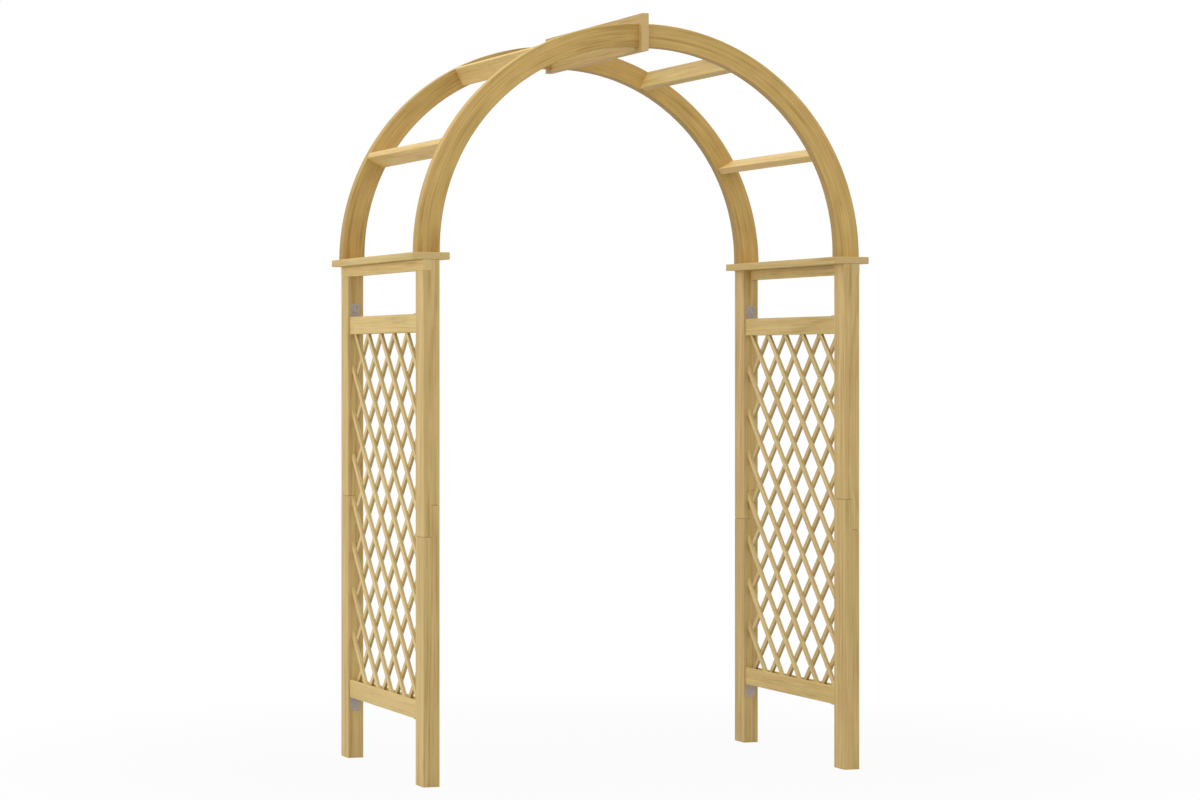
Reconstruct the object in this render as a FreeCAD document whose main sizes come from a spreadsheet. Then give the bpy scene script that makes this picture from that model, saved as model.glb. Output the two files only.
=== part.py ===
import FreeCAD, Part
import math
import os
import re

import Sketcher
from FreeCAD import Placement, Rotation, Vector

# An arched garden trellis in pine. Two side frames with diagonal lattice stand either side of a
# passage, and four half ribs, a ridge beam and four rungs make the arch between them.
# X runs across the passage, Y from front to back and Z up. The origin is on the ground, in the
# middle of the four feet.

# Driving sizes in millimetres, with angles in degrees
SIZES = {
    # Side frames
    "outer_width": 1237,
    "outer_depth": 800,
    "post_width": 45,
    "post_depth": 70,
    "lap_bottom": 651.2,
    "lap_top": 734.7,
    "lap_gap": 0.8,
    "cap_top": 1393,
    "cap_thickness": 19,
    "cap_overhang": 28,
    "top_rail_height": 28,
    "lattice_rail_height": 49,
    "lattice_rail_thickness": 34,
    "lattice_shift": 2,
    "upper_rail_bottom": 1184.5,
    "lower_rail_bottom": 170,
    # Lattice
    "slat_width": 15,
    "slat_thickness": 8,
    "slat_angle": 44.6,
    "slat_pitch": 123.9,
    "slat_chamfer": 0.8,
    "lattice_middle": 700.6,
    "groove_depth": 12,
    "groove_play": 0.4,
    "slat_reach": 10,
    # Arch
    "arch_shift": 2,
    "rib_outer_radius": 619,
    "rib_inner_radius": 541.5,
    "rib_foot_width": 65,
    "rib_crown_width": 62.5,
    "rib_thickness": 34,
    "rib_setback": 22,
    "rib_drop": 3.5,
    "beam_thickness": 20,
    "beam_height": 100,
    "beam_length": 796,
    "beam_rise": 26.5,
    "rung_width": 54.5,
    "rung_thickness": 18.5,
    "lower_rung_angle": 28.7,
    "upper_rung_angle": 63,
    "edge_radius": 2,
    # Brackets
    "bracket_width": 30,
    "bracket_leg": 37,
    "bracket_sheet": 1.2,
    "bracket_bend": 1,
    "bracket_corner": 4,
    "near_hole": 14,
    "far_hole": 27,
    "hole_stagger": 7,
    # Screws, dowels and brads
    "screw_shank": 4,
    "screw_head": 8,
    "screw_sink": 3,
    "screw_point": 5,
    "bracket_screw_length": 20,
    "lap_screw_length": 36,
    "cap_screw_length": 60,
    "rib_screw_length": 55,
    "recess_span": 4.4,
    "recess_slot": 1.1,
    "recess_depth": 1.3,
    "lap_screw_inset": 24,
    "lap_screw_stagger": 14,
    "cap_screw_inset": 9,
    "rib_screw_spread": 12,
    "dowel_diameter": 8,
    "rung_dowel_length": 50,
    "rung_dowel_spread": 15,
    "ridge_dowel_length": 80,
    "ridge_dowel_spread": 14,
    "brad_diameter": 1.6,
    "brad_length": 13,
}

SLATS_PER_LAYER = 12
SIDES = {"left": -1, "right": 1}
ENDS = {"front": -1, "back": 1}
LEVELS = ("upper", "lower")
HALF_TURN = Rotation(Vector(0, 0, 1), 180)
FACE_PLUS_X = Rotation(Vector(0, 1, 0), 90)
FACE_MINUS_Y = Rotation(Vector(1, 0, 0), 90)
FACE_MINUS_Z = Rotation(Vector(1, 0, 0), 180)
NO_TURN = Rotation()

# Sizes that several pieces share, worked out from the sheet
CAP_BOTTOM = "(cap_top - cap_thickness)"
ARC_HEIGHT = "(cap_top - rib_drop)"
RIB_MIDDLE_RADIUS = "(rib_outer_radius - rung_width / 2)"
RIB_MIDDLE_Y = "(outer_depth / 2 - rib_setback - rib_thickness / 2)"
RUNG_LENGTH = "(outer_depth - 2 * rib_setback - 2 * rib_thickness)"
PANEL_LENGTH = "(outer_depth - 2 * post_depth)"
POST_X = "((outer_width - post_width) / 2)"
POST_Y = "((outer_depth - post_depth) / 2)"
UPPER_RAIL_TOP = "(upper_rail_bottom + lattice_rail_height)"
LOWER_RAIL_TOP = "(lower_rail_bottom + lattice_rail_height)"

doc = FreeCAD.newDocument("ArchedTrellis")
sheet = doc.addObject("Spreadsheet::Sheet", "Sizes")
for row, (alias, number) in enumerate(SIZES.items(), start=1):
    sheet.set(f"A{row}", alias.replace("_", " "))
    sheet.set(f"B{row}", str(number))
    sheet.setAlias(f"B{row}", alias)
doc.recompute()

nodes = []


# Reading and binding the sheet

def in_sheet(text):
    """The expression with the sheet's name before each alias."""
    return re.sub(r"[a-z]\w*", lambda word: f"Sizes.{word[0]}" if word[0] in SIZES else word[0], text)


def value(text):
    """The number that an expression of aliases gives."""
    return float(sheet.evalExpression(in_sheet(text)))


def bind(item, prop, text):
    item.setExpression(prop, in_sheet(text))


def place(item, x, y, z, turn=NO_TURN):
    """Put an object at a point whose coordinates stay bound to the sheet."""
    item.Placement = Placement(Vector(value(x), value(y), value(z)), turn)
    for axis, text in zip("xyz", (x, y, z)):
        bind(item, f"Placement.Base.{axis}", text)


def spot(x, y, z, turn=NO_TURN):
    """A placement worked out from expressions, for fasteners."""
    return Placement(Vector(value(x), value(y), value(z)), turn)


def lattice_x(side):
    """Where the slats and brackets of one side lie, a little towards -X in the posts."""
    return f"({side} * {POST_X} - lattice_shift)"


# Sketches and bodies

def new_sketch(body, plane):
    """An empty sketch on one of the body's own origin planes."""
    sketch = body.newObject("Sketcher::SketchObject", "Sketch")
    support = next(item for item in body.Origin.OriginFeatures if item.Role == plane)
    sketch.AttachmentSupport = [(support, "")]
    sketch.MapMode = "FlatFace"
    return sketch


def bind_point(sketch, geometry, point, name, x, y):
    """Hold one sketch point at coordinates bound to the sheet."""
    for kind, letter, text in (("DistanceX", "x", x), ("DistanceY", "y", y)):
        rule = sketch.addConstraint(Sketcher.Constraint(kind, -1, 1, geometry, point, value(text)))
        sketch.renameConstraint(rule, f"{name}_{letter}")
        bind(sketch, f"Constraints.{name}_{letter}", text)


def outline(body, plane, corners):
    """A closed outline of straight edges through corners bound to the sheet."""
    sketch = new_sketch(body, plane)
    points = [Vector(value(x), value(y), 0) for x, y in corners]
    count = len(points)
    for index in range(count):
        sketch.addGeometry(Part.LineSegment(points[index], points[(index + 1) % count]), False)
    for index in range(count):
        sketch.addConstraint(Sketcher.Constraint("Coincident", index, 2, (index + 1) % count, 1))
    for index, (x, y) in enumerate(corners):
        bind_point(sketch, index, 1, f"corner_{index}", x, y)
    return sketch


def new_body(label):
    return doc.addObject("PartDesign::Body", f"{label}_blank")


def pad_sketch(body, sketch, length):
    """Pad a sketch by the same distance either side of its plane."""
    pad = body.newObject("PartDesign::Pad", "Pad")
    pad.Profile = sketch
    pad.SideType = "Symmetric"
    bind(pad, "Length", length)
    doc.recompute()


def rectangle(width, height):
    """The corners of a rectangle centred on the sketch's origin."""
    return (
        (f"-{width} / 2", f"-{height} / 2"),
        (f"{width} / 2", f"-{height} / 2"),
        (f"{width} / 2", f"{height} / 2"),
        (f"-{width} / 2", f"{height} / 2"),
    )


def runs_along(edge, direction):
    """Whether an edge is straight and parallel to a direction."""
    if not isinstance(edge.Curve, Part.Line):
        return False
    return abs(edge.Curve.Direction.dot(direction)) > 0.999


def dress_edges(body, kind, prop, size, wanted):
    """Fillet or chamfer the edges of the body that are wanted."""
    base = body.Tip
    names = [f"Edge{n}" for n, edge in enumerate(base.Shape.Edges, start=1) if wanted(edge)]
    feature = body.newObject(f"PartDesign::{kind}", kind)
    feature.Base = (base, names)
    bind(feature, prop, size)
    doc.recompute()


def ease_long_edges(body, direction, least_offset="0"):
    """Round the long edges of a timber, apart from those near its middle plane across X."""
    limit = value(least_offset)
    dress_edges(
        body, "Fillet", "Radius", "edge_radius",
        lambda edge: runs_along(edge, direction) and abs(edge.CenterOfMass.x) >= limit)


# Gathering pieces into nodes

def compound(label, items):
    group = doc.addObject("Part::Compound", label)
    group.Links = items
    return group


def copies(name, master, places):
    """Copies of one fastener, each at its own place."""
    links = []
    for number, where in enumerate(places, start=1):
        link = doc.addObject("App::Link", f"{name}_{number}")
        link.LinkedObject = master
        link.Placement = where
        links.append(link)
    return links


def keep(item):
    """Mark an object as one of the trellis's pieces."""
    nodes.append(item)
    return item


def drilled(label, blank, fasteners):
    """A finished piece: the blank with the holes that its fasteners fill."""
    piece = doc.addObject("Part::Cut", label)
    piece.Base = blank
    piece.Tool = fasteners
    return keep(piece)


# Fasteners. A screw's head faces its own +Z, with the clamped surface at its own height zero

def turned(label, profile):
    """A round piece turned from half of its outline."""
    body = new_body(label)
    sketch = outline(body, "XZ_Plane", profile)
    revolution = body.newObject("PartDesign::Revolution", "Turned")
    revolution.Profile = sketch
    revolution.ReferenceAxis = (sketch, ["V_Axis"])
    revolution.Angle = 360
    doc.recompute()
    return body


def with_cross_recess(label, blank):
    """A finished screw: the turned blank with a driver recess in its head."""
    slots = []
    for name, along_x, along_y in (("x", "recess_span", "recess_slot"), ("y", "recess_slot", "recess_span")):
        slot = doc.addObject("Part::Box", f"{label}_slot_{name}")
        bind(slot, "Length", along_x)
        bind(slot, "Width", along_y)
        bind(slot, "Height", "2 * recess_depth")
        place(slot, f"-{along_x} / 2", f"-{along_y} / 2", "-recess_depth")
        slots.append(slot)
    cross = doc.addObject("Part::MultiFuse", f"{label}_cross")
    cross.Shapes = slots
    screw = doc.addObject("Part::Cut", label)
    screw.Base = blank
    screw.Tool = cross
    return screw


def countersunk_screw(label, length):
    """A countersunk wood screw, as the blank that its hole fits and the finished screw."""
    blank = turned(label, (
        ("0", "0"),
        ("screw_head / 2", "0"),
        ("screw_shank / 2", "-screw_sink"),
        ("screw_shank / 2", f"screw_point - {length}"),
        ("0", f"-{length}"),
    ))
    return blank, with_cross_recess(label, blank)


def lap_screw_places(side):
    """Two screws through each post splice, heads on the face towards +X."""
    places = []
    for end in ENDS.values():
        for lift, shift in (("lap_bottom + lap_screw_inset", -1), ("lap_top - lap_screw_inset", 1)):
            places.append(spot(
                f"{side} * {POST_X} + post_width / 2",
                f"{end} * {POST_Y} + {shift} * lap_screw_stagger",
                lift, FACE_PLUS_X))
    return places


def cap_screw_places(side):
    """Two screws down each cap end, one through the top rail and one into the post alone."""
    places = []
    for end in ENDS.values():
        for half in (-1, 1):
            places.append(spot(
                f"{side} * {POST_X} + {half} * post_width / 4",
                f"{end} * (outer_depth / 2 - cap_screw_inset)", "cap_top"))
    return places


def rib_screw_places(side):
    """Two screws up through the cap into each rib foot."""
    places = []
    for end in ENDS.values():
        for half in (-1, 1):
            places.append(spot(
                f"{side} * (beam_thickness / 2 + {RIB_MIDDLE_RADIUS}) + {half} * rib_screw_spread - arch_shift",
                f"{end} * {RIB_MIDDLE_Y}", CAP_BOTTOM, FACE_MINUS_Z))
    return places


def bracket_place(side, end, level):
    """Where a bracket's corner sits, and how the bracket is turned into its corner."""
    if level == "upper":
        turn = NO_TURN if end > 0 else HALF_TURN
        height = UPPER_RAIL_TOP
    else:
        turn = Rotation(Vector(0, 1, 0), 180) if end > 0 else FACE_MINUS_Z
        height = "lower_rail_bottom"
    return (lattice_x(side), f"{end} * {PANEL_LENGTH} / 2", height, turn)


def bracket_screw_places(side):
    """Two screws in each leg of each bracket."""
    places = []
    for end in ENDS.values():
        for level in LEVELS:
            corner = spot(*bracket_place(side, end, level))
            for reach, stagger in (("near_hole", -1), ("far_hole", 1)):
                across = f"{stagger} * hole_stagger"
                places.append(corner.multiply(spot(across, "-bracket_sheet", reach, FACE_MINUS_Y)))
                places.append(corner.multiply(spot(across, f"-{reach}", "bracket_sheet")))
    return places


def dowel(label, length, x, y, z, turn):
    """A plain round dowel that starts at a point."""
    peg = doc.addObject("Part::Cylinder", label)
    bind(peg, "Radius", "dowel_diameter / 2")
    bind(peg, "Height", length)
    place(peg, x, y, z, turn)
    return peg


def rung_centre(side, angle):
    """The middle of a rung's section, on the ribs' middle line."""
    x = f"({side} * (beam_thickness / 2 + {RIB_MIDDLE_RADIUS} * cos({angle})) - arch_shift)"
    z = f"({ARC_HEIGHT} + {RIB_MIDDLE_RADIUS} * sin({angle}))"
    return x, z


def rung_dowels(side):
    """Two dowels in each end of each rung on one side, half in the rung and half in the rib."""
    pegs = []
    for angle in ("lower_rung_angle", "upper_rung_angle"):
        x, z = rung_centre(side, angle)
        for end in ENDS.values():
            for half in (-1, 1):
                pegs.append(dowel(
                    "rung_dowel", "rung_dowel_length",
                    f"{x} + {half * side} * rung_dowel_spread * cos({angle})",
                    f"{end} * {RUNG_LENGTH} / 2 + rung_dowel_length / 2",
                    f"{z} + {half} * rung_dowel_spread * sin({angle})", FACE_MINUS_Y))
    return pegs


def ridge_dowels():
    """Two dowels through the ridge beam at each end, into both half ribs."""
    pegs = []
    for end in ENDS.values():
        for half in (-1, 1):
            pegs.append(dowel(
                "ridge_dowel", "ridge_dowel_length", "-ridge_dowel_length / 2 - arch_shift",
                f"{end} * {RIB_MIDDLE_Y}",
                f"{ARC_HEIGHT} + {RIB_MIDDLE_RADIUS} + {half} * ridge_dowel_spread", FACE_PLUS_X))
    return pegs


def make_fasteners():
    """All screws and dowels as nodes, and for each side the blanks that its timbers are drilled by."""
    kinds = (
        ("lap_screw", countersunk_screw("lap_screw", "lap_screw_length"), lap_screw_places),
        ("cap_screw", countersunk_screw("cap_screw", "cap_screw_length"), cap_screw_places),
        ("rib_foot_screw", countersunk_screw("rib_foot_screw", "rib_screw_length"), rib_screw_places),
        ("bracket_screw", countersunk_screw("bracket_screw", "bracket_screw_length"), bracket_screw_places),
    )
    drills = {name: [] for name in SIDES}
    for kind, (blank, screw), places_on in kinds:
        finished = []
        for name, side in SIDES.items():
            places = places_on(side)
            drills[name] += copies(f"{name}_{kind}_hole", blank, places)
            finished += copies(f"{name}_{kind}", screw, places)
        keep(compound(f"{kind}s", finished))
    pegs = {name: rung_dowels(side) for name, side in SIDES.items()}
    keep(compound("rung_dowels", pegs["left"] + pegs["right"]))
    ridge = keep(compound("ridge_dowels", ridge_dowels()))
    cutters = {}
    for name in SIDES:
        cutters[name] = compound(f"{name}_holes", drills[name] + pegs[name] + [ridge])
    return cutters, ridge


# Side frames

def post_piece(label, level, end, side, cutter):
    """The lower or upper length of a post, with its half of the splice across the middle.

    The piece is drawn with its outer half on the -X side. The front posts' upper pieces carry
    their tongue on the outer half, the back posts' on the inner half.
    """
    outer_joint, inner_joint = ("lap_bottom", "lap_top") if end < 0 else ("lap_top", "lap_bottom")
    inner, outer = "post_width / 2", "-post_width / 2"
    if level == "lower":
        corners = (
            (outer, "0"),
            (inner, "0"),
            (inner, f"{inner_joint} - lap_gap"),
            ("0", f"{inner_joint} - lap_gap"),
            ("0", f"{outer_joint} - lap_gap"),
            (outer, f"{outer_joint} - lap_gap"),
        )
    else:
        seat = f"{CAP_BOTTOM} - top_rail_height"
        corners = (
            (outer, outer_joint),
            ("0", outer_joint),
            ("0", inner_joint),
            (inner, inner_joint),
            (inner, CAP_BOTTOM),
            ("0", CAP_BOTTOM),
            ("0", seat),
            (outer, seat),
        )
    blank = new_body(label)
    pad_sketch(blank, outline(blank, "XZ_Plane", corners), "post_depth")
    ease_long_edges(blank, Vector(0, 0, 1), "post_width / 4")
    place(blank, f"{side} * {POST_X}", f"{end} * {POST_Y}", "0", NO_TURN if side < 0 else HALF_TURN)
    return drilled(label, blank, cutter)


def top_rail(label, side, cutter):
    """The rail in the notches of the post tops, flush with their outer faces."""
    blank = new_body(label)
    pad_sketch(blank, outline(blank, "XZ_Plane", rectangle("post_width / 2", "top_rail_height")), "outer_depth")
    ease_long_edges(blank, Vector(0, 1, 0))
    place(blank, f"{side} * (outer_width / 2 - post_width / 4)", "0", f"{CAP_BOTTOM} - top_rail_height / 2")
    return drilled(label, blank, cutter)


def cap_board(label, side, cutter):
    """The board over one side frame, with all its edges eased."""
    blank = new_body(label)
    section = rectangle("(post_width + 2 * cap_overhang)", "cap_thickness")
    pad_sketch(blank, outline(blank, "XZ_Plane", section), "outer_depth")
    dress_edges(blank, "Fillet", "Radius", "edge_radius", lambda edge: True)
    place(blank, f"{side} * {POST_X}", "0", "cap_top - cap_thickness / 2")
    return drilled(label, blank, cutter)


def lattice_rail(label, level, side, cutter):
    """A rail between the posts, with a groove for the slats a little towards -X.

    It is drawn with the groove below. The lower rail is turned over.
    """
    face = "lattice_rail_thickness / 2"
    middle = "-lattice_shift" if level == "upper" else "lattice_shift"
    left = f"({middle} - slat_thickness - groove_play / 2)"
    right = f"({middle} + slat_thickness + groove_play / 2)"
    corners = (
        (f"-{face}", "0"),
        (left, "0"),
        (left, "groove_depth"),
        (right, "groove_depth"),
        (right, "0"),
        (face, "0"),
        (face, "lattice_rail_height"),
        (f"-{face}", "lattice_rail_height"),
    )
    blank = new_body(label)
    pad_sketch(blank, outline(blank, "XZ_Plane", corners), PANEL_LENGTH)
    ease_long_edges(blank, Vector(0, 1, 0), "lattice_rail_thickness / 2 - edge_radius")
    if level == "upper":
        place(blank, f"{side} * {POST_X}", "0", "upper_rail_bottom")
    else:
        place(blank, f"{side} * {POST_X}", "0", LOWER_RAIL_TOP, Rotation(Vector(0, 1, 0), 180))
    return drilled(label, blank, cutter)


def angle_bracket(label, side, end, level, cutter):
    """A bent steel angle with two countersunk holes in each leg."""
    leg, sheet_metal = "bracket_leg", "bracket_sheet"
    body = new_body(label)
    profile = (
        ("0", "0"),
        ("0", leg),
        (f"-{sheet_metal}", leg),
        (f"-{sheet_metal}", sheet_metal),
        (f"-{leg}", sheet_metal),
        (f"-{leg}", "0"),
    )
    pad_sketch(body, outline(body, "YZ_Plane", profile), "bracket_width")
    across = Vector(1, 0, 0)
    reach = value(leg)
    thickness = value(sheet_metal)
    dress_edges(
        body, "Fillet", "Radius", "bracket_bend + bracket_sheet",
        lambda edge: runs_along(edge, across) and edge.CenterOfMass.Length < thickness / 2)
    dress_edges(
        body, "Fillet", "Radius", "bracket_bend",
        lambda edge: runs_along(edge, across)
        and edge.CenterOfMass.distanceToPoint(Vector(0, -thickness, thickness)) < thickness / 2)
    dress_edges(
        body, "Fillet", "Radius", "bracket_corner",
        lambda edge: edge.Length < thickness * 1.1 and edge.CenterOfMass.Length > reach
        and not runs_along(edge, across))
    place(body, *bracket_place(side, end, level))
    return drilled(label, body, cutter)


# Lattice

def make_slat():
    """One lattice slat, long enough for the longest place, lying along Y with its edges eased."""
    body = new_body("slat")
    run = f"{PANEL_LENGTH} * 2"
    pad_sketch(body, outline(body, "XZ_Plane", rectangle("slat_thickness", "slat_width")), run)
    along = Vector(0, 1, 0)
    dress_edges(body, "Chamfer", "Size", "slat_chamfer", lambda edge: runs_along(edge, along))
    return body


def slat_steps():
    """How many pitches each slat of a layer lies above or below the lattice's middle."""
    return [number - (SLATS_PER_LAYER - 1) / 2 for number in range(SLATS_PER_LAYER)]


def make_brads(label, side, master):
    """A brad at every crossing inside the frame, driven from the +X face of the lattice."""
    pitch = value("slat_pitch")
    slope = math.tan(math.radians(value("slat_angle")))
    margin = value("slat_width")
    widest = value(PANEL_LENGTH) / 2 - margin
    lowest = value(LOWER_RAIL_TOP) + margin
    highest = value("upper_rail_bottom") - margin
    face = value(f"{lattice_x(side)} + slat_thickness")
    middle = value("lattice_middle")
    places = []
    for rising in slat_steps():
        for falling in slat_steps():
            y = (falling - rising) * pitch / (2 * slope)
            z = middle + (falling + rising) * pitch / 2
            if abs(y) <= widest and lowest <= z <= highest:
                places.append(Placement(Vector(face, y, z), Rotation(Vector(0, 1, 0), -90)))
    return keep(compound(label, copies(f"{label}_copy", master, places)))


def slat_layer(label, side, layer, slope_sign, slat, brads):
    """One layer of slats, trimmed to the frame and drilled for the brads.

    The layer on the -X face rises towards the back, the one on the +X face towards the front.
    """
    turn = Rotation(Vector(1, 0, 0), slope_sign * value("slat_angle"))
    x = f"{lattice_x(side)} + {layer} * slat_thickness / 2"
    places = [spot(x, "0", f"lattice_middle + {step} * slat_pitch", turn) for step in slat_steps()]
    long_slats = compound(f"{label}_untrimmed", copies(f"{label}_copy", slat, places))
    frame = doc.addObject("Part::Box", f"{label}_frame")
    bind(frame, "Length", "slat_thickness")
    bind(frame, "Width", PANEL_LENGTH)
    bind(frame, "Height", f"upper_rail_bottom - {LOWER_RAIL_TOP} + 2 * slat_reach")
    place(frame, f"{x} - slat_thickness / 2", f"-{PANEL_LENGTH} / 2", f"{LOWER_RAIL_TOP} - slat_reach")
    trimmed = doc.addObject("Part::Common", f"{label}_trimmed")
    trimmed.Base = long_slats
    trimmed.Tool = frame
    return drilled(label, trimmed, brads)


def make_lattice():
    slat = make_slat()
    brad = doc.addObject("Part::Cylinder", "brad")
    bind(brad, "Radius", "brad_diameter / 2")
    bind(brad, "Height", "brad_length")
    for name, side in SIDES.items():
        brads = make_brads(f"{name}_lattice_brads", side, brad)
        slat_layer(f"{name}_slats_rising_to_back", side, -1, 1, slat, brads)
        slat_layer(f"{name}_slats_rising_to_front", side, 1, -1, slat, brads)


# Arch

def half_rib(label, side, end, cutter):
    """A quarter ring cut off just above its centre, which is the middle of the sketch.

    The inner arc has a centre of its own, so the rib is slimmer in its sweep than at its ends. The
    whole arch stands a little towards -X on the caps.
    """
    foot_inside = "(rib_outer_radius - rib_foot_width)"
    crown_inside = "(rib_outer_radius - rib_crown_width)"
    centre_x = f"({foot_inside} - rib_inner_radius)"
    centre_z = f"({crown_inside} - rib_inner_radius)"
    outer = value("rib_outer_radius")
    inner = value("rib_inner_radius")
    drop = value("rib_drop")
    up = Vector(0, 0, 1)
    quarter = math.pi / 2
    toe_angle = math.asin(drop / outer)
    centre = Vector(value(centre_x), value(centre_z), 0)
    crown_top = Vector(0, outer, 0)
    crown_corner = Vector(0, value(crown_inside), 0)
    inner_crown = centre + Vector(0, inner, 0)
    inner_side = centre + Vector(inner, 0, 0)
    inner_toe = Vector(value(foot_inside), drop, 0)
    outer_toe = Vector(outer * math.cos(toe_angle), drop, 0)
    body = new_body(label)
    sketch = new_sketch(body, "XZ_Plane")
    sketch.addGeometry(Part.ArcOfCircle(Part.Circle(Vector(0, 0, 0), up, outer), toe_angle, quarter), False)
    sketch.addGeometry(Part.LineSegment(crown_top, crown_corner), False)
    sketch.addGeometry(Part.LineSegment(crown_corner, inner_crown), False)
    sketch.addGeometry(Part.ArcOfCircle(Part.Circle(centre, up, inner), 0, quarter), False)
    sketch.addGeometry(Part.LineSegment(inner_side, inner_toe), False)
    sketch.addGeometry(Part.LineSegment(inner_toe, outer_toe), False)
    outer_arc, crown, crown_stub, inner_arc, inner_foot, sole = range(6)
    start, finish, middle = 1, 2, 3
    joints = (
        (outer_arc, finish, crown, start), (crown, finish, crown_stub, start),
        (crown_stub, finish, inner_arc, finish), (inner_arc, start, inner_foot, start),
        (inner_foot, finish, sole, start), (sole, finish, outer_arc, start),
        (outer_arc, middle, -1, 1),
    )
    for joint in joints:
        sketch.addConstraint(Sketcher.Constraint("Coincident", *joint))
    for line in (crown, inner_foot):
        sketch.addConstraint(Sketcher.Constraint("Vertical", line))
    for line in (crown_stub, sole):
        sketch.addConstraint(Sketcher.Constraint("Horizontal", line))
    sketch.addConstraint(Sketcher.Constraint("PointOnObject", crown, start, -2))
    sketch.addConstraint(Sketcher.Constraint("Vertical", inner_arc, middle, inner_arc, finish))
    sketch.addConstraint(Sketcher.Constraint("Horizontal", inner_arc, middle, inner_arc, start))
    bind_point(sketch, inner_arc, middle, "inner_centre", centre_x, centre_z)
    sizes = (
        ("outer_radius", Sketcher.Constraint("Radius", outer_arc, outer), "rib_outer_radius"),
        ("inner_radius", Sketcher.Constraint("Radius", inner_arc, inner), "rib_inner_radius"),
        ("sole_height", Sketcher.Constraint("DistanceY", -1, 1, sole, start, drop), "rib_drop"),
    )
    for name, rule, text in sizes:
        sketch.renameConstraint(sketch.addConstraint(rule), name)
        bind(sketch, f"Constraints.{name}", text)
    pad_sketch(body, sketch, "rib_thickness")
    dress_edges(body, "Fillet", "Radius", "edge_radius", lambda edge: isinstance(edge.Curve, Part.Circle))
    place(
        body, f"{side} * beam_thickness / 2 - arch_shift", f"{end} * {RIB_MIDDLE_Y}", ARC_HEIGHT,
        NO_TURN if side > 0 else HALF_TURN)
    return drilled(label, body, cutter)


def rung(label, side, angle, cutter):
    """A board between the front and back ribs, its wide faces along the arch's radius."""
    blank = new_body(label)
    pad_sketch(blank, outline(blank, "XZ_Plane", rectangle("rung_width", "rung_thickness")), RUNG_LENGTH)
    ease_long_edges(blank, Vector(0, 1, 0))
    x, z = rung_centre(side, angle)
    tilt = -value(angle) if side > 0 else value(angle) - 180
    place(blank, x, "0", z, Rotation(Vector(0, 1, 0), tilt))
    return drilled(label, blank, cutter)


def ridge_beam(cutter):
    """The board on edge between the left and right half ribs, with its ends standing out past them."""
    blank = new_body("ridge_beam")
    section = rectangle("beam_thickness", "beam_height")
    pad_sketch(blank, outline(blank, "XZ_Plane", section), "beam_length")
    ease_long_edges(blank, Vector(0, 1, 0))
    place(blank, "-arch_shift", "0", f"{ARC_HEIGHT} + rib_outer_radius + beam_rise - beam_height / 2")
    return drilled("ridge_beam", blank, cutter)


# The whole trellis

cutters, ridge_holes = make_fasteners()
for side_name, side in SIDES.items():
    cutter = cutters[side_name]
    for end_name, end in ENDS.items():
        for level in LEVELS:
            post_piece(f"{end_name}_{side_name}_post_{level}", level, end, side, cutter)
            angle_bracket(f"{end_name}_{side_name}_{level}_bracket", side, end, level, cutter)
        half_rib(f"{end_name}_{side_name}_rib", side, end, cutter)
    top_rail(f"{side_name}_top_rail", side, cutter)
    cap_board(f"{side_name}_cap_board", side, cutter)
    for level in LEVELS:
        lattice_rail(f"{side_name}_{level}_lattice_rail", level, side, cutter)
        rung(f"{side_name}_{level}_rung", side, f"{level}_rung_angle", cutter)
ridge_beam(ridge_holes)
make_lattice()
doc.recompute()

# Nothing is written unless every object came out sound
faults = [item.Name for item in doc.Objects if "Invalid" in item.State or "Error" in item.State]
faults += [piece.Label for piece in nodes if piece.Shape.isNull() or not piece.Shape.isValid()]
if faults:
    raise RuntimeError(f"failed objects: {faults}")

os.makedirs("parts", exist_ok=True)
for piece in nodes:
    piece.Shape.exportStep(f"parts/{piece.Label}.step")
    print(piece.Label, len(piece.Shape.Solids), round(piece.Shape.Volume))
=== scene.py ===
import math
import random
from collections import namedtuple

import bmesh
import bpy
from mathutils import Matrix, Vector


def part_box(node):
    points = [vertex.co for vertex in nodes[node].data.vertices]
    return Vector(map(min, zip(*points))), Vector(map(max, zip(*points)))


# An arched garden trellis in honey-coloured pine with diagonal lattice sides.
# Metres, +Z up, +X across the passage and +Y from front to back.

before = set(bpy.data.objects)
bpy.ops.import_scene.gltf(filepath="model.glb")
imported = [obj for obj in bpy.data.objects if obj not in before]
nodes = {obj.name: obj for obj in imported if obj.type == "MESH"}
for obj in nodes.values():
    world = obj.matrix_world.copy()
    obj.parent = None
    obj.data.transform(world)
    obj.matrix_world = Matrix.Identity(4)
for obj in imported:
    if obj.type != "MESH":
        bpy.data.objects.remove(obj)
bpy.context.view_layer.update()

# Sizes that the grain follows
RIB_WIDTH = 0.060
RUNG_WIDTH = 0.0545
RUNG_THICKNESS = 0.0185
SLAT_WIDTH = 0.015
SLAT_ANGLE = math.radians(44.6)
SLAT_PITCH = 0.1239
LATTICE_MIDDLE = 0.7006

# How much further on in the grain each next slat starts, and a length that no slat's grain reaches, so
# that no sawn end is drawn on the slats
SLAT_STEP = 5.3
BEYOND_SLATS = 100.0

# The photograph's camera, taken as 1200 by 800 pixels
IMAGE_WIDTH = 1200
IMAGE_HEIGHT = 800
FOCAL_PIXELS = 3510.9
HORIZON_ROW = 364.93
CAMERA_PLACE = (-3.2505, -9.1537, 1.0991)
CAMERA_HEADING = 0.34239
SENSOR_WIDTH = 36.0

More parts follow.
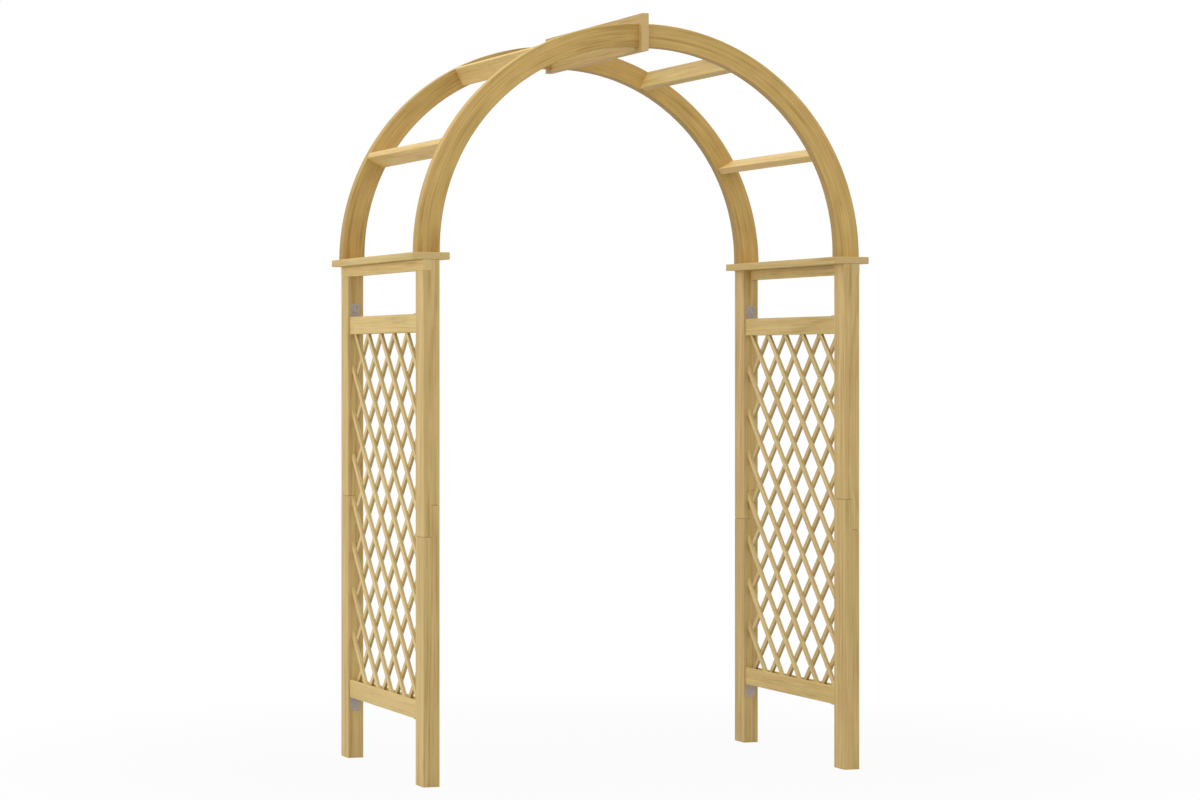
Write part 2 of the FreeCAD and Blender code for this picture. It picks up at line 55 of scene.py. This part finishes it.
# Kinds of timber: a middle colour as linear light, how streaked and how blotchy it is, how much
# darker it grows towards its ends, how much painted shade darkens its narrow sides, how rubbed
# its edges are, and how light its sawn ends are
Timber = namedtuple("Timber", "colour streak mottle ends sides worn sawn")
POST_PINE = Timber((0.655, 0.470, 0.182), 2.9, 0.6, 0.0, 0.0, 1.0, 1.1)
RAIL_PINE = Timber((0.685, 0.500, 0.187), 1.8, 0.6, 0.0, 0.0, 1.0, 1.1)
CAP_PINE = Timber((0.645, 0.470, 0.176), 2.0, 0.6, 0.0, 0.0, 1.0, 1.15)
RUNG_PINE = Timber((0.680, 0.490, 0.182), 2.0, 0.6, 0.0, 0.0, 0.5, 1.1)
BEAM_PINE = Timber((0.572, 0.400, 0.148), 0.8, 0.6, 0.0, 0.0, 0.0, 1.37)
SLAT_PINE = Timber((0.745, 0.570, 0.256), 1.4, 0.3, 0.0, 0.42, 0.0, 1.1)
RIB_PINE = {
    "left": Timber((0.645, 0.433, 0.139), 0.9, 1.4, 0.60, 0.28, 0.0, 1.1),
    "right": Timber((0.645, 0.433, 0.139), 0.9, 1.4, 0.08, 0.57, 0.0, 1.1),
}

# Pieces that are lighter or darker than the rest of their kind
LIGHTNESS = {
    "front_left_post_upper": 1.03,
    "front_right_post_upper": 1.04,
    "back_left_post_lower": 0.97,
    "back_right_post_lower": 0.95,
    "left_top_rail": 1.08,
    "right_top_rail": 0.94,
    "right_cap_board": 0.96,
    "left_upper_lattice_rail": 1.04,
    "right_upper_lattice_rail": 0.98,
    "front_left_rib": 1.08,
    "front_right_rib": 1.06,
    "back_left_rib": 0.91,
    "back_right_rib": 0.95,
    "left_lower_rung": 1.07,
    "right_upper_rung": 0.90,
    "right_lower_rung": 0.92,
    "right_slats_rising_to_front": 0.92,
}

# How parts of the grain differ from a timber's middle colour
EARLY_WOOD = (1.12, 1.13, 1.18)
LATE_WOOD = (0.72, 0.66, 0.55)
ROSY_WOOD = (1.02, 0.96, 0.99)
OLIVE_WOOD = (0.96, 0.99, 0.92)
WORN_WOOD = (1.10, 1.14, 1.25)
SAWN_WOOD = (1.00, 1.02, 1.20)
# Painted shade laid on the narrow sides of the ribs and slats
SHADED_SIDE_WOOD = (0.46, 0.44, 0.40)
FLECK_WOOD = (0.50, 0.42, 0.34)

# Noises in the finishes: how many cells each has in a metre three ways, how many finer layers lie on
# it, how strong those are, and in timber which way it is moved, so that every timber shows its own
# stretch of it. The ways are a timber's breadth, depth and length, the rings' radius and length, or a
# fixing's X, Y and Z.
Noise = namedtuple("Noise", "cells detail roughness moved", defaults=(None,))
FIRST_WAY = 0
SECOND_WAY = 1
THIRD_WAY = 2
RING_DRIFT = Noise((7.0, 7.0, 1.7), 2.0, 0.5, FIRST_WAY)
DARK_YEARS = Noise((75.0, 0.6, 0.0), 1.0, 0.5, FIRST_WAY)
STREAKS = Noise((55.0, 55.0, 3.0), 2.0, 0.5, FIRST_WAY)
FINE_GRAIN = Noise((220.0, 220.0, 4.0), 2.0, 0.5, SECOND_WAY)
FIBRES = Noise((620.0, 620.0, 11.0), 3.0, 0.6, THIRD_WAY)
BLOTCHES = Noise((30.0, 30.0, 12.0), 1.5, 0.5, SECOND_WAY)
SLOW_TONE = Noise((6.0, 6.0, 2.0), 1.0, 0.5, THIRD_WAY)
SLOW_HUE = Noise((60.0, 60.0, 3.0), 1.0, 0.5, FIRST_WAY)
FLECKS = Noise((480.0, 480.0, 24.0), 1.0, 0.5, SECOND_WAY)
ZINC_MOTTLE = Noise((210.0, 210.0, 210.0), 3.0, 0.6)
ZINC_RUBBING = Noise((2200.0, 380.0, 380.0), 2.0, 0.5)
BEECH_PORES = Noise((900.0, 60.0, 900.0), 3.0, 0.5)
NOISE_MIDDLE = 0.5

# Growth rings: the ranges of a timber's place in the noises, of the pith's distance from the timber's
# middle and of a ring's thickness, how far the rings drift, and how late in the year they darken
PLACE_RANGE = (-40.0, 40.0)
PITH_RANGE = (0.045, 0.110)
RING_RANGE = (0.0034, 0.0052)
DRIFT_REACH = 0.030
LATENESS = 2.6

# Where the marks on a timber start and end: as levels of their noise, as distances from an edge or a
# face, and for the darker ends as a share of the half length
FLECK_LEVELS = (0.66, 0.76)
ROSY_LEVELS = (0.50, 0.64)
OLIVE_LEVELS = (0.50, 0.36)
WORN_EDGE = (0.0005, 0.0055)
BROAD_FACE = (0.0008, 0.0004)
SAWN_END = (0.0006, 0.0003)
JOINT_LINE = (0.0030, 0.0010)
DARK_ENDS_FROM = 0.5

# How much each part of the grain darkens a timber, from a middle shade
MIDDLE_SHADE = 0.30
SLOW_SHADE = 0.5
FINE_SHADE = 2.2
RING_SHADE = 0.7
MEAN_RING = 0.14
FIBRE_SHADE = 0.3
JOINT_SHADE = 0.5

# How far each mark covers the colour below it
HUE_COVER = 0.7
FLECK_COVER = 0.25
WORN_COVER = 0.1
WORN_FIBRE_COVER = 0.5
SAWN_COVER = 0.9
SAWN_RING_GAP = 0.3

# How rough, glossy and uneven the planed pine is
PINE_ROUGHNESS = 0.56
LATE_ROUGHNESS = 0.08
FIBRE_ROUGHNESS = 0.22
SAWN_ROUGHNESS = 0.15
PINE_SPECULAR = 0.32
FIBRE_HEIGHT = 0.6
LATE_DEPTH = 0.3
FLECK_DEPTH = 0.5
Relief = namedtuple("Relief", "distance strength")
PINE_RELIEF = Relief(0.0004, 0.45)

# The finishes of the fixings, with colours as linear light
ZINC_LIGHT = (0.532, 0.460, 0.392)
ZINC_DARK = (0.409, 0.350, 0.298)
ZINC_LEVELS = (0.36, 0.64)
ZINC_ROUGHNESS = 0.40
MOTTLE_ROUGHNESS = 0.18
RUBBING_ROUGHNESS = 0.10
ZINC_METALLIC = 0.35
ZINC_RELIEF = Relief(0.0001, 0.4)
DOWEL_BEECH = (0.640, 0.480, 0.290)
DOWEL_PORE = (0.470, 0.320, 0.135)
PORE_COVER = 0.4
BEECH_ROUGHNESS = 0.55
PORE_ROUGHNESS = 0.2

# The studio: a floor on which the shadow fades away from the trellis, even light from all round, and
# lamps that look at the middle of the trellis
STUDIO_WHITE = (1.0, 1.0, 1.0)
WHITE_LEVEL = 1.0
AMBIENT_LEVEL = 0.79
FLOOR_GREY = (0.55, 0.55, 0.55)
FLOOR_ROUGHNESS = 0.9
FLOOR_REACH = 60.0
SHADOW_SHARE = 0.07
SHADOW_FADE = (0.9, 2.4)
LAMP_TARGET = (0.0, 0.0, 1.1)
Lamp = namedtuple("Lamp", "name direction distance size watts")
LAMPS = (
    Lamp("side_lamp", (-0.987, -0.086, 0.139), 6.0, 2.5, 66.0),
    Lamp("top_lamp", (-0.017, 0.0, 1.0), 5.0, 3.0, 110.0),
)


# Building materials

class Field:
    """A number, vector, colour or shader that a node gives. Arithmetic on numbers adds Math nodes."""

    def __init__(self, shading, socket):
        self.shading = shading
        self.socket = socket

    def __add__(self, other):
        return self.shading.math("ADD", self, other)

    def __radd__(self, other):
        return self.shading.math("ADD", other, self)

    def __sub__(self, other):
        return self.shading.math("SUBTRACT", self, other)

    def __rsub__(self, other):
        return self.shading.math("SUBTRACT", other, self)

    def __mul__(self, other):
        return self.shading.math("MULTIPLY", self, other)

    def __rmul__(self, other):
        return self.shading.math("MULTIPLY", other, self)

    def __truediv__(self, other):
        return self.shading.math("DIVIDE", self, other)

    def __rtruediv__(self, other):
        return self.shading.math("DIVIDE", other, self)

    def __pow__(self, other):
        return self.shading.math("POWER", self, other)

    def __abs__(self):
        return self.shading.math("ABSOLUTE", self)


class Shading:
    """A tree of shader nodes, with one method that adds any node."""

    def __init__(self, tree):
        self.tree = tree

    def node(self, kind, settings=None, inputs=None):
        """Add a node, set it up, then set or link its sockets."""
        made = self.tree.nodes.new(kind)
        for name, setting in (settings or {}).items():
            setattr(made, name, setting)
        for key, item in (inputs or {}).items():
            self.feed(made.inputs[key], item)
        return made

    def field(self, kind, settings=None, inputs=None, output=0):
        """Add a node and take one of its outputs."""
        return Field(self, self.node(kind, settings, inputs).outputs[output])

    def feed(self, socket, item):
        """Link a field to a socket, or set the socket to a number or colour."""
        if isinstance(item, Field):
            self.tree.links.new(item.socket, socket)
        elif socket.type == "RGBA":
            socket.default_value = (*item, 1.0)
        else:
            socket.default_value = item

    def math(self, operation, *items):
        """Add a Math node."""
        return self.field("ShaderNodeMath", {"operation": operation}, dict(enumerate(items)))

    def seen(self):
        """1 for what the camera, reflections and clear pieces look at, and 0 for light that bounces."""
        rays = self.node("ShaderNodeLightPath").outputs
        looks = Field(self, rays["Is Camera Ray"])
        for other in ("Is Glossy Ray", "Is Transmission Ray"):
            looks = self.math("MAXIMUM", looks, Field(self, rays[other]))
        return looks

    def output_mix(self, output, share, first, second):
        """Send a mix of two shader nodes to an output node."""
        shaders = {0: share, 1: Field(self, first.outputs[0]), 2: Field(self, second.outputs[0])}
        mixed = self.field("ShaderNodeMixShader", None, shaders)
        self.feed(self.tree.nodes[output].inputs["Surface"], mixed)


class Finish(Shading):
    """A material under construction."""

    def __init__(self, name):
        self.material = bpy.data.materials.new(name)
        self.material.use_nodes = True
        super().__init__(self.material.node_tree)
        self.surface = self.tree.nodes["Principled BSDF"]

    def set(self, name, item):
        """Set or link one of the surface's own sockets."""
        self.feed(self.surface.inputs[name], item)

    def place(self):
        """The point on the piece, as three numbers in metres."""
        where = self.field("ShaderNodeTexCoord", output="Object")
        split = self.node("ShaderNodeSeparateXYZ", None, {0: where})
        return [Field(self, output) for output in split.outputs]

    def noise(self, kind, place, start=None):
        """Cloudy noise between 0 and 1 at a place of three numbers, moved on by start."""
        numbers = [number * cells for number, cells in zip(place, kind.cells)]
        if start is not None:
            numbers[kind.moved] = numbers[kind.moved] + start
        sockets = {
            "Vector": self.field("ShaderNodeCombineXYZ", None, dict(enumerate(numbers))),
            "Scale": 1.0,
            "Detail": kind.detail,
            "Roughness": kind.roughness,
        }
        return self.field("ShaderNodeTexNoise", None, sockets)

    def ramp(self, value, low, high):
        """0 below low, 1 above high and smooth between."""
        settings = {"interpolation_type": "SMOOTHSTEP"}
        sockets = {"Value": value, "From Min": low, "From Max": high}
        return self.field("ShaderNodeMapRange", settings, sockets)

    def blend(self, share, first, second):
        """A colour between two colours."""
        colours = {0: share, 6: first, 7: second}
        return self.field("ShaderNodeMix", {"data_type": "RGBA"}, colours, output=2)

    def bump(self, height, relief):
        """Make the surface look raised by a height."""
        sockets = {"Height": height, "Distance": relief.distance, "Strength": relief.strength}
        self.set("Normal", self.field("ShaderNodeBump", None, sockets))


def pine(name, timber, grain, halves):
    """Planed pine: growth rings round a pith, streaks, fibres, flecks, sawn ends and rubbed edges.

    grain gives a point's place from the timber's middle: across its breadth, through its depth and along
    its length. halves are half of these sizes.
    """
    finish = Finish(f"pine_{name}")
    chance = random.Random(name)
    start = chance.uniform(*PLACE_RANGE)
    pith_angle = chance.uniform(0.0, 2 * math.pi)
    pith_distance = chance.uniform(*PITH_RANGE)
    ring_thickness = chance.uniform(*RING_RANGE)
    light = LIGHTNESS.get(name, 1.0)
    place = grain(finish)
    breadth, depth, length = place
    half_breadth, half_depth, half_length = halves

    def tint(factors, share=1.0):
        """The timber's colour, changed by a factor for each channel."""
        return tuple(channel * factor * light * share for channel, factor in zip(timber.colour, factors))

    def near_face(distance, half, reach):
        """0 inside and 1 at the face, changing between two distances from the face."""
        return finish.ramp(abs(distance), half - reach[0], half - reach[1])

    # Growth rings, drifting along the timber, with more late wood in some years
    drift = finish.noise(RING_DRIFT, place, start) - NOISE_MIDDLE
    ring_breadth = breadth + pith_distance * math.cos(pith_angle)
    ring_depth = depth + pith_distance * math.sin(pith_angle)
    straight = finish.math("SQRT", ring_breadth * ring_breadth + ring_depth * ring_depth)
    radius = straight + drift * DRIFT_REACH
    late = finish.math("FRACT", radius / ring_thickness) ** LATENESS
    years = finish.noise(DARK_YEARS, (radius, length, 0.0), start)

    # Streaks, fibres and flecks along the timber, and slower changes of tone
    streaks = finish.noise(STREAKS, place, start)
    fine = finish.noise(FINE_GRAIN, place, start)
    fibres = finish.noise(FIBRES, place, start)
    blotches = finish.noise(BLOTCHES, place, start)
    tone = finish.noise(SLOW_TONE, place, start)
    hue = finish.noise(SLOW_HUE, place, -start)
    flecks = finish.ramp(finish.noise(FLECKS, place, start), *FLECK_LEVELS)

    # How near the surface is to a long edge, whether it is a narrow side, which is darkened with
    # painted shade, or a sawn end, and how near it is to the joint there
    edge = 1.0 - finish.ramp((half_breadth - abs(breadth)) + (half_depth - abs(depth)), *WORN_EDGE)
    side = 1.0 - near_face(depth, half_depth, BROAD_FACE)
    end = near_face(length, half_length, SAWN_END)
    joint = near_face(length, half_length, JOINT_LINE)
    towards_end = finish.ramp(abs(length), half_length * DARK_ENDS_FROM, half_length)

    shade = MIDDLE_SHADE + (streaks - NOISE_MIDDLE) * timber.streak
    shade = shade + (blotches - NOISE_MIDDLE) * timber.mottle
    shade = shade + (tone - NOISE_MIDDLE) * SLOW_SHADE
    shade = shade + (fine - NOISE_MIDDLE) * FINE_SHADE
    shade = shade + (late * years - MEAN_RING) * RING_SHADE
    shade = shade + (fibres - NOISE_MIDDLE) * FIBRE_SHADE
    shade = shade + towards_end * timber.ends
    shade = shade + joint * JOINT_SHADE
    rubbed = edge * (fibres * WORN_FIBRE_COVER + WORN_COVER) * timber.worn
    colour = finish.blend(shade, tint(EARLY_WOOD), tint(LATE_WOOD))
    colour = finish.blend(finish.ramp(hue, *ROSY_LEVELS) * HUE_COVER, colour, tint(ROSY_WOOD))
    colour = finish.blend(finish.ramp(hue, *OLIVE_LEVELS) * HUE_COVER, colour, tint(OLIVE_WOOD))
    colour = finish.blend(flecks * FLECK_COVER, colour, tint(FLECK_WOOD))
    # Painted shade on the narrow sides
    colour = finish.blend(side * timber.sides, colour, tint(SHADED_SIDE_WOOD))
    colour = finish.blend(rubbed, colour, tint(WORN_WOOD))
    colour = finish.blend(end * (SAWN_COVER - late * SAWN_RING_GAP), colour, tint(SAWN_WOOD, timber.sawn))

    roughness = PINE_ROUGHNESS + late * LATE_ROUGHNESS
    roughness = roughness + (fibres - NOISE_MIDDLE) * FIBRE_ROUGHNESS + end * SAWN_ROUGHNESS
    finish.set("Base Color", colour)
    finish.set("Roughness", roughness)
    finish.set("Specular IOR Level", PINE_SPECULAR)
    finish.bump(fibres * FIBRE_HEIGHT - late * LATE_DEPTH - flecks * FLECK_DEPTH, PINE_RELIEF)
    return finish.material


def zinc(name):
    """Dull zinc plate with a soft mottle and fine rubbing."""
    finish = Finish(name)
    place = finish.place()
    mottle = finish.noise(ZINC_MOTTLE, place)
    rubbing = finish.noise(ZINC_RUBBING, place)
    finish.set("Base Color", finish.blend(finish.ramp(mottle, *ZINC_LEVELS), ZINC_DARK, ZINC_LIGHT))
    finish.set("Roughness", ZINC_ROUGHNESS + mottle * MOTTLE_ROUGHNESS + rubbing * RUBBING_ROUGHNESS)
    finish.set("Metallic", ZINC_METALLIC)
    finish.bump((mottle + rubbing) / 2, ZINC_RELIEF)
    return finish.material


def beech(name):
    """Plain dowel wood, seen only where the joints are open."""
    finish = Finish(name)
    pores = finish.noise(BEECH_PORES, finish.place())
    finish.set("Base Color", finish.blend(pores * PORE_COVER, DOWEL_BEECH, DOWEL_PORE))
    finish.set("Roughness", BEECH_ROUGHNESS + pores * PORE_ROUGHNESS)
    return finish.material


# How the grain runs in each kind of piece

def middle_and_half(name):
    """A piece's middle, and half of its size."""
    low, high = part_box(name)
    return (low + high) / 2, (high - low) / 2


def dress(name, material):
    """Give a piece its finish."""
    nodes[name].material_slots[0].material = material


def dress_post(name, timber):
    """A post piece, with its grain along Z."""
    middle, half = middle_and_half(name)

    def grain(finish):
        x, y, z = finish.place()
        return x - middle.x, y - middle.y, z - middle.z

    dress(name, pine(name, timber, grain, (half.x, half.y, half.z)))


def dress_board(name, timber):
    """A board along Y."""
    middle, half = middle_and_half(name)

    def grain(finish):
        x, y, z = finish.place()
        return x - middle.x, z - middle.z, y - middle.y

    dress(name, pine(name, timber, grain, (half.x, half.z, half.y)))


Arc = namedtuple("Arc", "centre_x centre_z outer_radius")


def rib_arc(side):
    """Where the half ribs of one side are struck from, and their outer radius."""
    low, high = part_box(f"front_{side}_rib")
    outer_radius = high.x - low.x
    centre_x = low.x if side == "right" else high.x
    return Arc(centre_x, high.z - outer_radius, outer_radius)


def dress_rung(name, side, timber):
    """A rung along Y, turned to the arch's radius."""
    middle, half = middle_and_half(name)
    arc = rib_arc(side)
    angle = math.atan2(middle.z - arc.centre_z, middle.x - arc.centre_x)

    def grain(finish):
        x, y, z = finish.place()
        right = x - middle.x
        up = z - middle.z
        radial = right * math.cos(angle) + up * math.sin(angle)
        around = up * math.cos(angle) - right * math.sin(angle)
        return radial, around, y - middle.y

    dress(name, pine(name, timber, grain, (RUNG_WIDTH / 2, RUNG_THICKNESS / 2, half.y)))


def dress_rib(name, side, timber):
    """A half rib, with its grain round the arc."""
    middle, half = middle_and_half(name)
    arc = rib_arc(side)
    mean_radius = arc.outer_radius - RIB_WIDTH / 2
    half_sweep = mean_radius * math.pi / 4

    def grain(finish):
        x, y, z = finish.place()
        out = abs(x - arc.centre_x)
        up = z - arc.centre_z
        radial = finish.math("SQRT", out * out + up * up) - mean_radius
        sweep = finish.math("ARCTAN2", up, out) * mean_radius - half_sweep
        return radial, y - middle.y, sweep

    dress(name, pine(name, timber, grain, (RIB_WIDTH / 2, half.y, half_sweep)))


def dress_slats(name, rise, timber):
    """A layer of slats, with the grain along each slat and every slat a different stick."""
    middle, half = middle_and_half(name)
    pitch = SLAT_PITCH * math.cos(SLAT_ANGLE)

    def grain(finish):
        x, y, z = finish.place()
        up = z - LATTICE_MIDDLE
        along = y * math.cos(SLAT_ANGLE) + up * (rise * math.sin(SLAT_ANGLE))
        across = up * math.cos(SLAT_ANGLE) - y * (rise * math.sin(SLAT_ANGLE))
        number = finish.math("FLOOR", across / pitch)
        within = across - (number + 0.5) * pitch
        return within, x - middle.x, along + number * SLAT_STEP

    dress(name, pine(name, timber, grain, (SLAT_WIDTH / 2, half.x, BEYOND_SLATS)))


for side in ("left", "right"):
    for end in ("front", "back"):
        for level in ("upper", "lower"):
            dress_post(f"{end}_{side}_post_{level}", POST_PINE)
        dress_rib(f"{end}_{side}_rib", side, RIB_PINE[side])
    dress_board(f"{side}_top_rail", RAIL_PINE)
    dress_board(f"{side}_cap_board", CAP_PINE)
    for level in ("upper", "lower"):
        dress_board(f"{side}_{level}_lattice_rail", RAIL_PINE)
        dress_rung(f"{side}_{level}_rung", side, RUNG_PINE)
    dress_slats(f"{side}_slats_rising_to_back", 1, SLAT_PINE)
    dress_slats(f"{side}_slats_rising_to_front", -1, SLAT_PINE)
dress_board("ridge_beam", BEAM_PINE)

zinc_plate = zinc("zinc_plate")
dowel_beech = beech("dowel_beech")
for name in nodes:
    if name.endswith(("_bracket", "_screws", "_brads")):
        dress(name, zinc_plate)
    elif name.endswith("_dowels"):
        dress(name, dowel_beech)


# Studio

def studio_floor():
    """A wide pale floor that the camera sees as white, with a faint shadow near the feet."""
    shape = bmesh.new()
    bmesh.ops.create_grid(shape, x_segments=1, y_segments=1, size=FLOOR_REACH)
    mesh = bpy.data.meshes.new("studio_floor")
    shape.to_mesh(mesh)
    shape.free()
    floor = bpy.data.objects.new("studio_floor", mesh)
    bpy.context.scene.collection.objects.link(floor)
    finish = Finish("studio_floor")
    finish.set("Base Color", FLOOR_GREY)
    finish.set("Roughness", FLOOR_ROUGHNESS)
    x, y = finish.place()[:2]
    distance = finish.math("SQRT", x * x + y * y)
    share = finish.seen() * ((1.0 - SHADOW_SHARE) + finish.ramp(distance, *SHADOW_FADE) * SHADOW_SHARE)
    white = finish.node("ShaderNodeEmission", None, {"Color": STUDIO_WHITE, "Strength": WHITE_LEVEL})
    finish.output_mix("Material Output", share, finish.surface, white)
    mesh.materials.append(finish.material)


def studio_world():
    """Soft even light from all round, with a white background."""
    world = bpy.data.worlds.new("studio")
    world.use_nodes = True
    bpy.context.scene.world = world
    shading = Shading(world.node_tree)
    ambient = shading.tree.nodes["Background"]
    shading.feed(ambient.inputs["Color"], STUDIO_WHITE)
    shading.feed(ambient.inputs["Strength"], AMBIENT_LEVEL)
    white = shading.node("ShaderNodeBackground", None, {"Color": STUDIO_WHITE, "Strength": WHITE_LEVEL})
    shading.output_mix("World Output", shading.seen(), ambient, white)


def soft_lamp(lamp):
    """A square lamp that looks at the middle of the trellis."""
    light = bpy.data.lights.new(lamp.name, "AREA")
    light.shape = "SQUARE"
    light.size = lamp.size
    light.energy = lamp.watts
    way = Vector(lamp.direction).normalized()
    placed = bpy.data.objects.new(lamp.name, light)
    placed.location = Vector(LAMP_TARGET) + way * lamp.distance
    placed.rotation_euler = way.to_track_quat("Z", "Y").to_euler()
    bpy.context.scene.collection.objects.link(placed)


def photograph_camera():
    """A level camera that frames the trellis as the photograph does."""
    data = bpy.data.cameras.new("photograph_camera")
    data.sensor_width = SENSOR_WIDTH
    data.lens = FOCAL_PIXELS / IMAGE_WIDTH * SENSOR_WIDTH
    data.shift_y = (HORIZON_ROW - IMAGE_HEIGHT / 2) / IMAGE_WIDTH
    camera = bpy.data.objects.new("photograph_camera", data)
    camera.location = CAMERA_PLACE
    camera.rotation_euler = (math.pi / 2, 0.0, -CAMERA_HEADING)
    bpy.context.scene.collection.objects.link(camera)
    bpy.context.scene.camera = camera


studio_floor()
studio_world()
for lamp in LAMPS:
    soft_lamp(lamp)
photograph_camera()
bpy.context.scene.view_settings.view_transform = "Standard"
